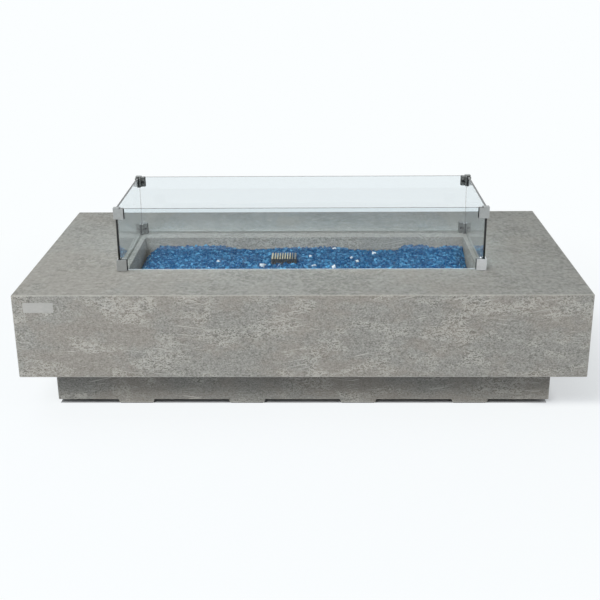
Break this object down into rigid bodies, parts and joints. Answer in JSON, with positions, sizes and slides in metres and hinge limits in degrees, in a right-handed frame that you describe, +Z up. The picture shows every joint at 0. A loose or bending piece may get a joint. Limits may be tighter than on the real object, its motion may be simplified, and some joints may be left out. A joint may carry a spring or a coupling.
{
  "type": "gas fire pit table",
  "caption": "Long low cast-concrete gas fire table on a set-back plinth, with a well of blue fire glass, a pilot cage and a loose clear glass wind guard.",
  "frame": {"origin": "on the floor under the middle of the table", "axes": "+X along the length to the right, towards the end with the controls; -Y is the front; +Z up"},
  "size_m": [1.54, 0.84, 0.537],
  "materials": {
    "concrete": "cast, fine horizontal streaks, sealed matt",
    "plinth_concrete": "cast, matt",
    "rubber_black": "matt",
    "liner_rubber": "matt",
    "name_plate_steel": "brushed",
    "panel_board": "matt board",
    "frame_paint": "matt powder coat",
    "zinc_steel": "zinc plated",
    "stainless": "brushed",
    "hood_enamel": "heat-proof enamel",
    "black_iron": "black",
    "brass": "turned",
    "ceramic_white": "glazed rod with a wire",
    "copper_tube": "drawn tube",
    "blue_glass": "tumbled chips",
    "clear_glass": "tempered, polished edges",
    "clip_metal": "satin",
    "black_plastic": "matt",
    "knob_black": "satin",
    "red_plastic": "satin",
    "spring_steel": "bare wire",
    "hose_black": "braided hose",
    "wire_sleeve": "heat-proof sleeve",
    "battery_sleeve": "plain sleeve",
    "valve_metal": "cast"
  },
  "bodies": {
    "table": {"air_mixer": "brass", "box_screws": "stainless", "burner_crossbar": "stainless", "burner_elbow": "black_iron", "burner_line": "hose_black", "burner_locknuts": "brass", "burner_pan": "stainless", "burner_riser": "black_iron", "burner_standoffs": "stainless", "burner_tube_front": "stainless", "burner_tube_rear": "stainless", "button_spring": "spring_steel", "control_box": "stainless", "fire_glass": "blue_glass", "flare_nuts": "brass", "frame_bolts": "zinc_steel", "frame_crosses": "frame_paint", "frame_posts": "frame_paint", "frame_rails": "frame_paint", "gas_inlet": "brass", "gas_orifice": "brass", "igniter_battery": "battery_sleeve", "igniter_housing": "black_plastic", "igniter_nut": "black_plastic", "igniter_wire": "wire_sleeve", "inlet_locknut": "brass", "knob_bezel": "stainless", "name_plate": "name_plate_steel", "pan_screws": "stainless", "pilot_bracket": "stainless", "pilot_burner": "stainless", "pilot_hood": "hood_enamel", "pilot_line": "copper_tube", "plinth_glides": "rubber_black", "plinth_nuts": "zinc_steel", "plinth_shell": "plinth_concrete", "spark_electrode": "ceramic_white", "supply_line": "hose_black", "table_shell": "concrete", "thermocouple": "copper_tube", "top_inserts": "brass", "underside_panel": "panel_board", "valve_body": "valve_metal", "valve_nut": "brass", "valve_spring": "spring_steel"},
    "wind_guard": {"guard_clip_liners": "liner_rubber", "guard_clip_screws": "zinc_steel", "guard_clips_bottom": "clip_metal", "guard_clips_top": "clip_metal", "guard_feet": "rubber_black", "guard_glass_front": "clear_glass", "guard_glass_left": "clear_glass", "guard_glass_rear": "clear_glass", "guard_glass_right": "clear_glass"},
    "valve_plunger": {"spring_seat": "zinc_steel"},
    "valve_knob": {"valve_stem": "brass", "control_knob": "knob_black"},
    "igniter_cap": {"igniter_cap": "black_plastic"},
    "ignition_button": {"ignition_button": "red_plastic"}
  },
  "joints": [
    {"name": "guard_lift", "type": "slide", "parent": "table", "child": "wind_guard", "axis": [0, 0, 1], "range_m": [0, 0.25]},
    {"name": "knob_press", "type": "slide", "parent": "table", "child": "valve_plunger", "axis": [-1, 0, 0], "range_m": [0, 0.004], "stiffness_N_per_m": 1500, "springref_m": -0.002, "deforming": ["valve_spring"]},
    {"name": "knob_turn", "type": "hinge", "parent": "valve_plunger", "child": "valve_knob", "pos_m": [0.739, -0.04, 0.235], "axis": [1, 0, 0], "range_deg": [0, 180]},
    {"name": "cap_off", "type": "slide", "parent": "table", "child": "igniter_cap", "axis": [1, 0, 0], "range_m": [0, 0.06]},
    {"name": "button_press", "type": "slide", "parent": "igniter_cap", "child": "ignition_button", "axis": [-1, 0, 0], "range_m": [0, 0.004], "stiffness_N_per_m": 1000, "springref_m": -0.002, "deforming": ["button_spring"]}
  ]
}
